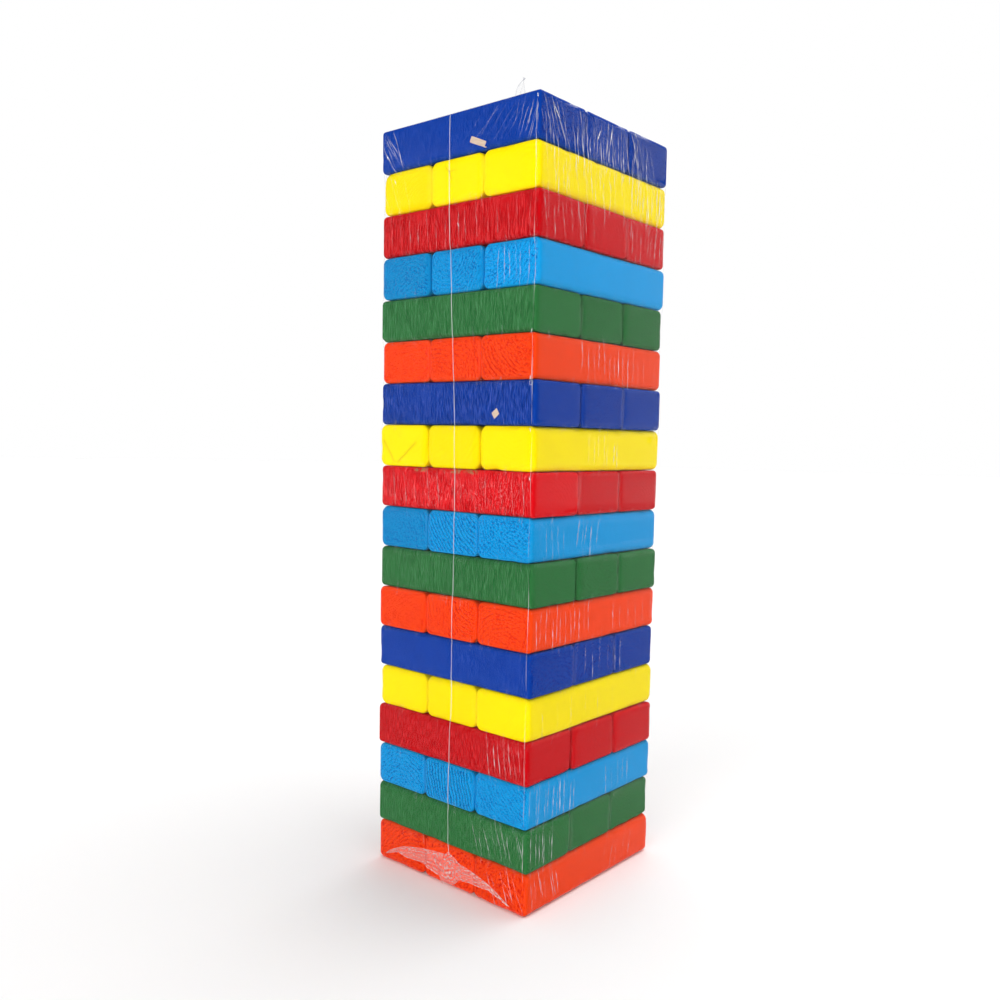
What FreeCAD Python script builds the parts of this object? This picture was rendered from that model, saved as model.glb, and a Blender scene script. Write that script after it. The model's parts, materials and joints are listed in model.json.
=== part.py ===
import FreeCAD, Part
import os
import Sketcher

# A tumbling tower: 18 levels of three painted wooden blocks, each level turned a quarter turn
# from the one below, in clear shrink film. The film is far thinner than any gap here, so only the
# place where it is doubled and stiff, its side seam with the gathered foot, has a solid.
# Millimetres, +Z up. The origin is the middle of the tower's foot, where it stands.
# Levels count from the foot. Odd levels lie along Y and even levels along X.

# Every driving dimension, as (alias, value, what it is).
SIZES = (
    ("block_length", 75.0, "a block from end to end, and the tower's side"),
    ("block_width", 24.9, "a block across its broad face"),
    ("block_thickness", 15.1, "a block from its lower to its upper face"),
    ("long_edge_radius", 2.1, "rounding along a block's four long edges"),
    ("end_edge_radius", 1.4, "rounding around a block's two ends"),
    ("side_pitch", 25.05, "from one block's middle to the next in a level"),
    ("level_pitch", 15.18, "from one level's middle to the next"),
    ("end_play", 0.4, "furthest that a block sits in or out along its length"),
    ("side_play", 0.25, "furthest that a level sits to one side"),
    ("end_play_turn", 97.0, "degrees of the in and out rule from level to level"),
    ("place_turn", 61.0, "degrees of the in and out rule from block to block"),
    ("side_play_turn", 151.0, "degrees of the sideways rule from level to level"),
    ("film_gap", 0.1, "from the furthest blocks to the film"),
    ("film_foot_gap", 0.2, "from the floor up to the film's lower rim"),
    ("seam_width", 1.2, "the film's welded side seam across"),
    ("seam_thickness", 0.12, "the seam, a few plies of film"),
    ("fan_width", 64.0, "the gathered fan at the seam's foot, at its widest"),
    ("fan_neck", 6.0, "the fan where it runs into the seam"),
    ("fan_height", 9.0, "from the floor to the fan's neck"),
    ("fan_thickness", 0.3, "the fan at its thickest, at the floor"),
)
LEVELS = 18
LEVEL_COLOURS = ("orange", "green", "light_blue", "red", "yellow", "blue")
PLACES_ALONG_Y = ((-1, "left"), (0, "middle"), (1, "right"))
PLACES_ALONG_X = ((-1, "front"), (0, "middle"), (1, "back"))
NEAR = 0.01

doc = FreeCAD.newDocument("TumblingTower")


def make_sheet():
    """The spreadsheet that holds the driving dimensions, one aliased cell each."""
    sheet = doc.addObject("Spreadsheet::Sheet", "Sizes")
    for row, (alias, value, meaning) in enumerate(SIZES, start=1):
        sheet.set(f"A{row}", meaning)
        sheet.set(f"B{row}", str(value))
        sheet.setAlias(f"B{row}", alias)
    doc.recompute()
    return sheet


def section_sketch(body, sheet):
    """A block's cross-section in its body's YZ plane: a rectangle about the origin."""
    sketch = body.newObject("Sketcher::SketchObject", "Section")
    plane = next(part for part in body.Origin.OriginFeatures if part.Role == "YZ_Plane")
    sketch.AttachmentSupport = [(plane, "")]
    sketch.MapMode = "FlatFace"
    half_width = sheet.block_width / 2
    half_thickness = sheet.block_thickness / 2
    corners = (
        FreeCAD.Vector(-half_width, -half_thickness, 0),
        FreeCAD.Vector(half_width, -half_thickness, 0),
        FreeCAD.Vector(half_width, half_thickness, 0),
        FreeCAD.Vector(-half_width, half_thickness, 0),
    )
    for side in range(4):
        sketch.addGeometry(Part.LineSegment(corners[side], corners[(side + 1) % 4]))
    for side in range(4):
        sketch.addConstraint(Sketcher.Constraint("Coincident", side, 2, (side + 1) % 4, 1))
    for side in (0, 2):
        sketch.addConstraint(Sketcher.Constraint("Horizontal", side))
        sketch.addConstraint(Sketcher.Constraint("Vertical", side + 1))
    # The starts of the first and third sides are opposite corners, so the origin is the middle.
    sketch.addConstraint(Sketcher.Constraint("Symmetric", 0, 1, 2, 1, -1, 1))
    for side, name in ((0, "block_width"), (1, "block_thickness")):
        rule = Sketcher.Constraint("Distance", side, getattr(sheet, name))
        sketch.renameConstraint(sketch.addConstraint(rule), name)
        sketch.setExpression(f"Constraints.{name}", f"Sizes.{name}")
    return sketch


def long_edges(shape):
    """The names of a plain block's four edges along its length."""
    return [
        f"Edge{number}"
        for number, edge in enumerate(shape.Edges, start=1)
        if edge.BoundBox.XLength > shape.BoundBox.XLength - NEAR
    ]


def end_edges(shape):
    """The names of all the edges around a block's two ends."""
    return [
        f"Edge{number}"
        for number, edge in enumerate(shape.Edges, start=1)
        if edge.BoundBox.XLength < NEAR
    ]


def rounding(body, base, name, edges, alias):
    """Rounds the named edges of base by the radius in the sheet's cell called alias."""
    fillet = body.newObject("PartDesign::Fillet", name)
    fillet.Base = (base, edges)
    fillet.setExpression("Radius", f"Sizes.{alias}")
    doc.recompute()
    return fillet


def make_block(sheet, level, place, label, along_x):
    """One block: a padded section with its long edges rounded first and then its ends.

    It sits in or out along its length by the end play times a sine of its level and place, and
    its whole level sits to one side by the side play times a sine of the level.
    """
    body = doc.addObject("PartDesign::Body", label)
    body.Label = label
    sketch = section_sketch(body, sheet)
    pad = body.newObject("PartDesign::Pad", "Length")
    pad.Profile = sketch
    pad.SideType = "Symmetric"
    pad.setExpression("Length", "Sizes.block_length")
    doc.recompute()
    sides = rounding(body, pad, "LongEdges", long_edges(pad.Shape), "long_edge_radius")
    rounding(body, sides, "EndEdges", end_edges(sides.Shape), "end_edge_radius")

    end_turn = f"({level} * Sizes.end_play_turn + {place} * Sizes.place_turn) * 1 deg"
    along = f"Sizes.end_play * sin({end_turn})"
    side_turn = f"{level} * Sizes.side_play_turn * 1 deg"
    across = f"{place} * Sizes.side_pitch + Sizes.side_play * sin({side_turn})"
    if not along_x:
        body.Placement.Rotation = FreeCAD.Rotation(FreeCAD.Vector(0, 0, 1), 90)
    body.setExpression(".Placement.Base.x", along if along_x else across)
    body.setExpression(".Placement.Base.y", across if along_x else along)
    height = f"{level - 1} * Sizes.level_pitch + Sizes.block_thickness / 2"
    body.setExpression(".Placement.Base.z", height)
    return body


def make_blocks(sheet):
    """Every level from the foot up, three blocks to a level."""
    blocks = []
    for level in range(1, LEVELS + 1):
        along_x = level % 2 == 0
        colour = LEVEL_COLOURS[(level - 1) % len(LEVEL_COLOURS)]
        for place, word in PLACES_ALONG_X if along_x else PLACES_ALONG_Y:
            label = f"level_{level:02d}_{colour}_{word}"
            blocks.append(make_block(sheet, level, place, label, along_x))
    return blocks


def make_film_seam():
    """Where the shrink film is doubled: its welded side seam, with the gathered fan at its foot.

    The seam is a thin strip up the middle of the front. The fan is a wedge that is wide at the
    floor and narrows to the seam. A wedge narrows along its Y, so it is turned to narrow upwards.
    """
    stand_off = "(Sizes.block_length / 2 + Sizes.end_play + Sizes.film_gap)"
    seam = doc.addObject("Part::Box", "Seam")
    seam.setExpression("Length", "Sizes.seam_width")
    seam.setExpression("Width", "Sizes.seam_thickness")
    crown = f"({LEVELS - 1} * Sizes.level_pitch + Sizes.block_thickness)"
    seam.setExpression("Height", f"{crown} - Sizes.film_foot_gap")
    seam.setExpression(".Placement.Base.x", "-Sizes.seam_width / 2")
    seam.setExpression(".Placement.Base.y", f"-{stand_off} - Sizes.seam_thickness")
    seam.setExpression(".Placement.Base.z", "Sizes.film_foot_gap")

    fan = doc.addObject("Part::Wedge", "Fan")
    fan.Placement.Rotation = FreeCAD.Rotation(FreeCAD.Vector(1, 0, 0), 90)
    spans = {
        "Xmin": "-Sizes.fan_width / 2",
        "Xmax": "Sizes.fan_width / 2",
        "X2min": "-Sizes.fan_neck / 2",
        "X2max": "Sizes.fan_neck / 2",
        "Ymin": "Sizes.film_foot_gap",
        "Ymax": "Sizes.fan_height",
        "Zmin": "0",
        "Zmax": "Sizes.fan_thickness",
        "Z2min": "0",
        "Z2max": "Sizes.seam_thickness",
    }
    for name, size in spans.items():
        fan.setExpression(name, size)
    fan.setExpression(".Placement.Base.y", f"-{stand_off}")

    film = doc.addObject("Part::MultiFuse", "film_seam")
    film.Label = "film_seam"
    film.Shapes = [seam, fan]
    return film


def check(parts):
    """Stops on any failed object, and on any sub-part that isn't one sound solid."""
    for item in doc.Objects:
        failed = {"Invalid", "Error"} & set(item.State)
        if failed:
            raise RuntimeError(f"{item.Label} is {', '.join(failed)}")
    for item in parts:
        shape = item.Shape
        if shape.isNull() or not shape.isValid() or len(shape.Solids) != 1:
            raise RuntimeError(f"{item.Label} is not one sound solid")


sizes = make_sheet()
sub_parts = [*make_blocks(sizes), make_film_seam()]
doc.recompute()
check(sub_parts)
os.makedirs("parts", exist_ok=True)
for sub_part in sub_parts:
    sub_part.Shape.exportStep(f"parts/{sub_part.Label}.step")
whole = Part.makeCompound([sub_part.Shape for sub_part in sub_parts]).BoundBox
print(f"{len(sub_parts)} sub-parts, {whole.XLength:.2f} x {whole.YLength:.2f} x {whole.ZLength:.2f} mm")
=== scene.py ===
"""A tumbling tower of 54 painted wooden blocks in tight, clear shrink film.

Every block is a rounded, slightly worn piece of sawn wood under a thin coat of paint. The film is
one surface drawn over the whole tower and cut where block meets block, so that each block keeps
its own patch of film when it slides. Lengths are metres unless a comment says millimetres.
"""

import json
import math

import bpy
import numpy as np
from mathutils import Matrix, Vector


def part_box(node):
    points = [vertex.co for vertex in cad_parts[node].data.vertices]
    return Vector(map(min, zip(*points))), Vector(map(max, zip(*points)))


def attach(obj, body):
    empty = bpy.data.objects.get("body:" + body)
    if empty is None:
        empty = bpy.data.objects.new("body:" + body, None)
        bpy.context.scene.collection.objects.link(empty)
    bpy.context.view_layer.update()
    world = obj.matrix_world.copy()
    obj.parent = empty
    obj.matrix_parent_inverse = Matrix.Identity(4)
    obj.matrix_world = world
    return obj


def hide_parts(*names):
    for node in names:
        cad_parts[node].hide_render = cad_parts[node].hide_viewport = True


bl_info = {
    "name": "Tumbling tower",
    "version": (1, 0, 0),
    "blender": (4, 5, 0),
    "location": "View3D > Sidebar > Tower",
    "description": "Builds a shrink-wrapped tower of painted wooden blocks around its packed frame",
    "category": "Add Mesh",
}

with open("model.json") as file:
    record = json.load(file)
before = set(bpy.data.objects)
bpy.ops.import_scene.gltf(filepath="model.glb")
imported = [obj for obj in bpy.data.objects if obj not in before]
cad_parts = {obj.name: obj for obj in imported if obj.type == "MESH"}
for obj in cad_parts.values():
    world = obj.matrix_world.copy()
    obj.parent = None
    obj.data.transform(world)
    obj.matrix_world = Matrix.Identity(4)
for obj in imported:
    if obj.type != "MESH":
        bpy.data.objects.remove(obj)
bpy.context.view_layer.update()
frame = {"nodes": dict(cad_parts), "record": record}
MM = 0.001

# The frame: every block's node by its level and place, its body, and its box at rest.
BLOCKS = sorted(name for name in frame["nodes"] if name.startswith("level_"))
BODY_OF = {node: body for body, nodes in frame["record"]["behaviour"]["bodies"].items() for node in nodes}
BOXES = {name: np.array([tuple(corner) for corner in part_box(name)]) for name in BLOCKS}
COLOURS = ("orange", "green", "light_blue", "red", "yellow", "blue")
LEVELS = 18
TOWER_TOP = max(box[1, 2] for box in BOXES.values())
SIDES = {"front": (1, -1), "right": (0, 1), "back": (1, 1), "left": (0, -1)}


def level_of(name):
    """A block's level, counted from the foot."""
    return int(name.split("_")[1])


def colour_of(name):
    """A block's colour word, such as light_blue."""
    return COLOURS[(level_of(name) - 1) % len(COLOURS)]


LEVEL_PITCH = BOXES[BLOCKS[3]][0, 2] - BOXES[BLOCKS[0]][0, 2]
BLOCK_SIZE = np.sort(BOXES[BLOCKS[0]][1] - BOXES[BLOCKS[0]][0])[::-1]
HALF_TOWER = BLOCK_SIZE[0] / 2
SIDE_PITCH = (BOXES[BLOCKS[2]][0, 0] - BOXES[BLOCKS[0]][0, 0]) / 2


# ---- Sizes and colours that a user would change ----


def paint_property(word, default):
    """A colour setting for one paint."""
    return bpy.props.FloatVectorProperty(
        name=word.replace("_", " ").capitalize() + " paint",
        description=f"Colour of the {word.replace('_', ' ')} blocks",
        subtype="COLOR",
        size=3,
        min=0.0,
        max=1.0,
        default=default,
    )


class TowerPaints(bpy.types.PropertyGroup):
    """The six paints, in the order that they repeat from the foot."""

    orange: paint_property("orange", (0.95, 0.060, 0.006))
    green: paint_property("green", (0.028, 0.17, 0.045))
    light_blue: paint_property("light_blue", (0.006, 0.31, 0.70))
    red: paint_property("red", (0.62, 0.003, 0.007))
    yellow: paint_property("yellow", (1.0, 0.79, 0.0))
    blue: paint_property("blue", (0.004, 0.047, 0.35))


def number_property(name, description, default, least, most, unit="LENGTH"):
    """A number setting, which is a length unless it says otherwise."""
    return bpy.props.FloatProperty(
        name=name, description=description, default=default, min=least, max=most, unit=unit
    )


class TowerWood(bpy.types.PropertyGroup):
    """How the blocks are cut and how worn they are."""

    long_edge_radius: number_property(
        "Long edge radius", "Rounding along a block's long edges", 2.1 * MM, 0.5 * MM, 4 * MM
    )
    end_edge_radius: number_property(
        "End edge radius", "Rounding around a block's ends", 1.4 * MM, 0.5 * MM, 4 * MM
    )
    wear: number_property(
        "Edge wear", "How far the worst worn edge sits inside a new one", 0.30 * MM, 0.0, 1 * MM
    )


class TowerFilm(bpy.types.PropertyGroup):
    """The shrink film."""

    stand_off: number_property(
        "Stand-off", "Gap between the film and the faces that it touches", 0.05 * MM, 0.01 * MM, 0.5 * MM
    )
    corner_radius: number_property(
        "Corner radius", "Rounding of the film where it turns a corner", 1.3 * MM, 0.5 * MM, 4 * MM
    )
    fall: number_property(
        "Fall", "How far the film falls for each unit away from what holds it out", 0.11, 0.01, 1.0, "NONE"
    )
    haze: number_property("Haze", "How milky one flat ply looks", 0.001, 0.0, 0.5, "NONE")


class TowerSettings(bpy.types.PropertyGroup):
    """Everything that the tower's operators read."""

    paints: bpy.props.PointerProperty(type=TowerPaints)
    wood: bpy.props.PointerProperty(type=TowerWood)
    film: bpy.props.PointerProperty(type=TowerFilm)


# ---- Node trees ----


class Value:
    """A number socket. Sums on it add Math nodes to its tree."""

    def __init__(self, nodes, socket):
        self.nodes = nodes
        self.socket = socket

    def sum(self, operation, *others):
        """One Math node over this value and the others."""
        inputs = dict(enumerate((self, *others)))
        return self.nodes.add("ShaderNodeMath", {"operation": operation}, inputs)

    def __add__(self, other):
        return self.sum("ADD", other)

    def __sub__(self, other):
        return self.sum("SUBTRACT", other)

    def __mul__(self, other):
        return self.sum("MULTIPLY", other)

    def __truediv__(self, other):
        return self.sum("DIVIDE", other)

    def __pow__(self, other):
        return self.sum("POWER", other)

    def __rsub__(self, other):
        return self.nodes.add("ShaderNodeMath", {"operation": "SUBTRACT"}, {0: other, 1: self})

    __radd__ = __add__
    __rmul__ = __mul__

    def size(self):
        """This value without its sign."""
        return self.sum("ABSOLUTE")

    def wave(self):
        """The sine of this value, in radians."""
        return self.sum("SINE")

    def at_most(self, other):
        """The lesser of two values."""
        return self.sum("MINIMUM", other)

    def at_least(self, other):
        """The greater of two values."""
        return self.sum("MAXIMUM", other)

    def ramp(self, low, high):
        """A smooth step from 0 at low to 1 at high."""
        inputs = {"Value": self, "From Min": low, "From Max": high}
        return self.nodes.add("ShaderNodeMapRange", {"interpolation_type": "SMOOTHSTEP"}, inputs)


class Nodes:
    """The node tree of a new material, or a new world, with one method that adds any node."""

    def __init__(self, name, store="materials"):
        self.owner = getattr(bpy.data, store).new(name)
        self.owner.use_nodes = True
        self.tree = self.owner.node_tree
        self.tree.nodes.clear()

    def add(self, kind, settings=None, inputs=None, output=0):
        """Adds a node of a kind, with its settings and then its sockets' values or links."""
        node = self.tree.nodes.new(kind)
        for name, setting in (settings or {}).items():
            setattr(node, name, setting)
        for key, value in (inputs or {}).items():
            if isinstance(value, Value):
                self.tree.links.new(value.socket, node.inputs[key])
            else:
                node.inputs[key].default_value = value
        return Value(self, node.outputs[output]) if node.outputs else node

    def attribute(self, name, output="Vector"):
        """What the mesh holds under a name."""
        return self.add("ShaderNodeAttribute", {"attribute_name": name}, output=output)

    def parts(self, vector):
        """The three numbers of a vector."""
        split = self.add("ShaderNodeSeparateXYZ", inputs={0: vector})
        return [Value(self, split.socket.node.outputs[number]) for number in range(3)]

    def vector(self, x, y, z):
        """A vector of three numbers."""
        return self.add("ShaderNodeCombineXYZ", inputs={0: x, 1: y, 2: z})

    def vector_math(self, operation, one, other):
        """One Vector Math node."""
        return self.add("ShaderNodeVectorMath", {"operation": operation}, {0: one, 1: other})

    def noise(self, vector, scale, detail=2.0, rough=0.5):
        """Soft noise between 0 and 1."""
        inputs = {"Vector": vector, "Scale": scale, "Detail": detail, "Roughness": rough}
        return self.add("ShaderNodeTexNoise", inputs=inputs, output="Fac")

    def blend(self, share, one, other):
        """A mix of two colours."""
        settings = {"data_type": "RGBA"}
        return self.add("ShaderNodeMix", settings, {0: share, 6: one, 7: other}, output=2)

    def shade(self, colour, share):
        """A colour made brighter or darker by a number."""
        return self.add("ShaderNodeVectorMath", {"operation": "SCALE"}, {0: colour, "Scale": share})

    def bump(self, height, distance, strength=1.0):
        """The normal of a surface raised by height times distance."""
        inputs = {"Height": height, "Distance": distance, "Strength": strength}
        return self.add("ShaderNodeBump", inputs=inputs)

    def mix(self, share, one, other):
        """A mix of two shaders."""
        return self.add("ShaderNodeMixShader", inputs={0: share, 1: one, 2: other})

    def finish(self, surface, kind="ShaderNodeOutputMaterial"):
        """Shows a shader on the surface, and gives the material or the world."""
        self.add(kind, inputs={"Surface": surface})
        return self.owner

    def paint(self, colour, rough, **others):
        """A Principled shader of a colour and a roughness. Its other sockets go by their names, with
        underscores for spaces."""
        inputs = {"Base Color": colour, "Roughness": rough}
        inputs.update((key.replace("_", " "), value) for key, value in others.items())
        return self.add("ShaderNodeBsdfPrincipled", inputs=inputs)


WHITE = (1.0, 1.0, 1.0, 1.0)


def paint_material(name, colour, splits=(), worn_spots=()):
    """Thin paint over sawn wood.

    own is a point's place in its block in millimetres, along, across and up. shift moves the
    patterns from block to block. pith holds the block's tone and where its rings' middle lies
    across and up. finish holds how sawn and porous the block is, and how strongly its pale strokes
    show, which are partly scuffs in the paint and partly painted glints of the film. traits holds how
    strongly its rings show, how far along it the pale strokes start and how speckled it is. splits
    are cracks in an end, each from one point across and up to another. worn_spots are places along
    the block where its upper front edge is rubbed to the bare wood.
    """
    nodes = Nodes(name)
    own = nodes.attribute("own")
    along, across, up = nodes.parts(own)
    # Noise is weak on a plane of its own lattice, so an end is made to lie aslant in it.
    aslant = nodes.vector(along + across * 0.37 + up * 0.61, across, up)
    placed = nodes.vector_math("ADD", aslant, nodes.attribute("shift"))
    tone, pith_across, pith_up = nodes.parts(nodes.attribute("pith"))
    sawn, porous, scuffed_and_glinting = nodes.parts(nodes.attribute("finish"))
    ringed, scuffs_and_glints_from, speckled = nodes.parts(nodes.attribute("traits"))

    # An end is where a point lies beyond the start of the end rounding, and its flat middle is
    # where it is clear of the end's own edges too.
    end = along.size().ramp(36.6, 37.1)
    side = 1 - end
    flat_end = end * (across.size() * -1 + 12.4).ramp(0.2, 1.2) * (up.size() * -1 + 7.5).ramp(0.2, 1.2)

    # Growth rings are circles about the pith, bent a little by noise.
    bend = nodes.noise(placed, 0.13, 1.0)
    out_across = across - pith_across
    out_up = up - pith_up
    radius = (out_across * out_across + out_up * out_up) ** 0.5 + bend * 3.0
    rings = (radius * 4.4).wave() * 0.5 + 0.5

    # Open pores drink the paint: small specks, most in the early wood of each ring.
    grit = nodes.noise(placed, 1.45, 2.0, 0.6)
    thirst = nodes.noise(placed, 0.10, 1.0).ramp(0.25, 0.60) * 0.4 + 0.6
    pores = (grit + rings * 0.035).ramp(0.52, 0.66) * flat_end * thirst * porous
    ring_lines = rings.ramp(0.45, 0.9) * flat_end * ringed

    # The saw leaves fine upright marks square to the grain, which wander a little. The grain
    # leaves long faint streaks.
    wander = nodes.noise(placed, 0.11, 1.0) * 1.4
    across_the_grain = nodes.vector((along + wander) * 4.6, across * 0.2 + tone * 40, up * 0.34)
    marks = nodes.noise(across_the_grain, 1.0, 1.0, 0.5).ramp(0.28, 0.72)
    saw_patch = nodes.noise(placed, 0.05, 1.0).ramp(0.25, 0.55) * 0.35 + 0.65
    sawing = side * sawn * saw_patch
    with_the_grain = nodes.vector_math("MULTIPLY", placed, (0.06, 1.3, 1.3))
    streaks = nodes.noise(with_the_grain, 1.0, 2.0, 0.6).ramp(0.55, 0.75)
    blotch = nodes.noise(placed, 0.75, 1.0)
    specks = blotch.ramp(0.60, 0.72) * speckled * end

    # Paint lies thick and thin in soft clouds.
    clouds = nodes.noise(placed, 0.10, 2.0)
    shade = (0.95 + clouds * 0.10) * (1 + tone * 0.18)
    shade = shade * (1 - pores * 0.20) * (1 - ring_lines * 0.12) * (1 + (marks - 0.55) * sawing)
    shade = shade * (1 - streaks * side * 0.05) * (1 - specks * 0.30) * (1.05 - blotch * side * 0.12)
    deeper = [part**1.7 for part in colour]
    soaked = nodes.blend((pores + specks).at_most(0.9), (*colour, 1.0), (*deeper, 1.0))
    painted = nodes.shade(soaked, shade)

    # Pale dust lies in the deepest saw marks. Short pale strokes in patches are partly scuffs in the
    # paint and partly painted glints of the film, and they grow in from where they start along the block.
    dust = marks.ramp(0.60, 1.0) * sawing
    strokes = nodes.noise(nodes.vector(along * 2.9, across * 0.5 + tone * 40, up * 0.75), 1.0, 2.0, 0.6)
    scuff_and_glint_patch = nodes.noise(placed, 0.16, 2.0).ramp(0.34, 0.56)
    scuffs_and_glints = strokes.ramp(0.58, 0.66) * scuff_and_glint_patch * scuffed_and_glinting * side
    scuffs_and_glints = scuffs_and_glints * (along - scuffs_and_glints_from).ramp(0.0, 22.0)
    pale = (dust * 0.11 + scuffs_and_glints * 0.42).at_most(0.8)
    lightened = [0.45 + 0.55 * part for part in colour]
    painted = nodes.blend(pale, painted, (*lightened, 1.0))

    height = grit * 0.16 - pores * 0.7 - ring_lines * 0.12 + (marks - 0.5) * sawing * 1.5
    for spot in worn_spots:
        rub = 1 - (along - spot).size().ramp(1.2, 4.2)
        upper_edge = up.ramp(5.6, 6.4) * (across * -1).ramp(10.2, 11.4)
        bare = nodes.noise(placed, 0.5, 3.0, 0.6).ramp(0.42, 0.52) * upper_edge * rub
        painted = nodes.blend(bare * 0.75, painted, (0.36, 0.20, 0.10, 1.0))
    # A crack is blended to dark brown for the bare wood in it and as painted shade deep in it, and sinks a
    # little.
    for start, stop, width, depth in splits:
        crack = split_line(nodes, across + (bend * 1.6 - 0.8), up, start, stop, width) * end
        painted = nodes.blend(crack * depth, painted, (0.20, 0.12, 0.01, 1.0))
        height = height - crack * depth * 1.5

    rough = 0.44 + pores * 0.25 + scuffs_and_glints * 0.2
    relief = nodes.bump(height, 0.16 * MM, 0.85)
    return nodes.finish(nodes.paint(painted, rough, Specular_IOR_Level=0.02, Normal=relief))


def split_line(nodes, across, up, start, stop, width):
    """1 on the straight line from start to stop and 0 past width from it.

    A point's share of the way along the line is its offset from start dotted with the line, over
    the line's length squared, held between 0 and 1. The distance is from the point to that place.
    """
    run = stop[0] - start[0], stop[1] - start[1]
    squared = run[0] ** 2 + run[1] ** 2
    from_across = across - start[0]
    from_up = up - start[1]
    share = ((from_across * run[0] + from_up * run[1]) / squared).at_least(0.0).at_most(1.0)
    gap_across = from_across - share * run[0]
    gap_up = from_up - share * run[1]
    gap = (gap_across * gap_across + gap_up * gap_up) ** 0.5
    return 1 - gap.ramp(width * 0.3, width)


def ply_material(haze):
    """One clear ply: it lets light straight through, and mirrors more the flatter it is seen."""
    nodes = Nodes("Shrink film ply")
    place = nodes.add("ShaderNodeTexCoord", output="Object")
    facing = nodes.add("ShaderNodeLayerWeight", inputs={"Blend": 0.5}, output="Facing")
    upright = nodes.vector_math("MULTIPLY", place, (900.0, 900.0, 140.0))
    ripple = nodes.noise(upright, 1.0, 2.0)
    relief = nodes.bump(ripple, 0.05 * MM, 0.5)
    gloss_inputs = {"Color": WHITE, "Roughness": 0.10, "Normal": relief}
    gloss = nodes.add("ShaderNodeBsdfAnisotropic", inputs=gloss_inputs)
    clear = nodes.add("ShaderNodeBsdfTransparent", inputs={"Color": WHITE})
    film = nodes.mix(0.005 + facing**5.0 * 0.8, clear, gloss)
    milk_and_glint = nodes.paint((0.9, 0.93, 0.97, 1), 0.4)
    cloud = nodes.noise(place, 60.0, 2.0).ramp(0.35, 0.75)
    return nodes.finish(nodes.mix(haze * (0.5 + cloud), film, milk_and_glint))


# Film folded on itself, by what is made of it, as (colour, roughness, how milky it is between the
# folds and how milky along them). Along the creases on the sides this white is a painted highlight,
# for the film's glints along its wrinkles. The ear's grey is painted shade, for how the thin film
# looks against the light.
FOLDED_FILMS_AND_PAINTED_LIGHT = {
    "crease": ((0.96, 0.97, 1.0, 1), 0.25, 0.0, 0.95),
    "seam": ((0.92, 0.94, 0.97, 1), 0.25, 0.03, 0.75),
    "fan": ((1.0, 0.92, 0.88, 1), 0.22, 0.07, 0.76),
    # The ear's grey is painted shade, for how the thin clear film looks against the light.
    "ear": ((0.55, 0.56, 0.60, 1), 0.22, 0.08, 0.80),
}


def folded_film_and_painted_light(word):
    """Film folded on itself, from the table above. crease is how folded the film is at a point; on the
    creases of the sides it is how bright their painted highlight is.
    """
    colour, rough, least, most = FOLDED_FILMS_AND_PAINTED_LIGHT[word]
    nodes = Nodes(f"Shrink film {word}")
    alpha = (nodes.attribute("crease", "Fac") * (most - least) + least).at_most(0.97)
    return nodes.finish(nodes.paint(colour, rough, Alpha=alpha))


def flake_material():
    """Pale, unpainted wood fibre."""
    nodes = Nodes("Wood flake")
    place = nodes.add("ShaderNodeTexCoord", output="Object")
    fibres = nodes.noise(nodes.vector_math("MULTIPLY", place, (300.0, 300.0, 2500.0)), 1.0, 3.0, 0.7)
    colour = nodes.blend(fibres, (0.52, 0.36, 0.25, 1.0), (0.80, 0.66, 0.52, 1.0))
    return nodes.finish(nodes.paint(colour, 0.8, Normal=nodes.bump(fibres, 0.1 * MM, 0.6)))


# ---- Surfaces as arrays ----


def make_object(name, points, quads, materials, attributes=(), normals=None, kinds=None):
    """A smooth mesh object from arrays of points and faces, with named values on its points. kinds
    says which of the materials each face has."""
    mesh = bpy.data.meshes.new(name)
    mesh.from_pydata(points.tolist(), [], quads.tolist())
    for material in materials:
        mesh.materials.append(material)
    if kinds is not None:
        mesh.polygons.foreach_set("material_index", kinds.astype(np.int32))
    mesh.shade_smooth()
    for key, values in dict(attributes).items():
        wide = values.ndim == 2
        layer = mesh.attributes.new(key, "FLOAT_VECTOR" if wide else "FLOAT", "POINT")
        layer.data.foreach_set("vector" if wide else "value", values.astype(np.float32).ravel())
    if normals is not None:
        mesh.normals_split_custom_set_from_vertices(normals.tolist())
    return place_in_scene(name, mesh)


def place_in_scene(name, data):
    """A new object of this data in the scene."""
    thing = bpy.data.objects.new(name, data)
    bpy.context.scene.collection.objects.link(thing)
    return thing


def as_points(*parts):
    """Points from grids of their X, Y and Z, one row each."""
    return np.stack([part.ravel() for part in np.broadcast_arrays(*parts)], axis=1)


def film_piece(name, owner, *parts):
    """A piece that rides with the block that owns it."""
    piece = make_object(name, *parts)
    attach(piece, BODY_OF[owner])
    return piece


def edge_lines(half, radius, spacing, steps=4):
    """Grid lines over a rounded box from -half to half: even on the flat, and at even angles of the
    rounding, which lie at the tangents of those angles."""
    turn = np.tan(np.linspace(0, math.pi / 4, steps + 1))[1:] * radius
    flat = half - radius
    even = np.linspace(-flat, flat, max(2, int(round(2 * flat / spacing))) + 1)
    return np.concatenate([-flat - turn[::-1], even, flat + turn])


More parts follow.
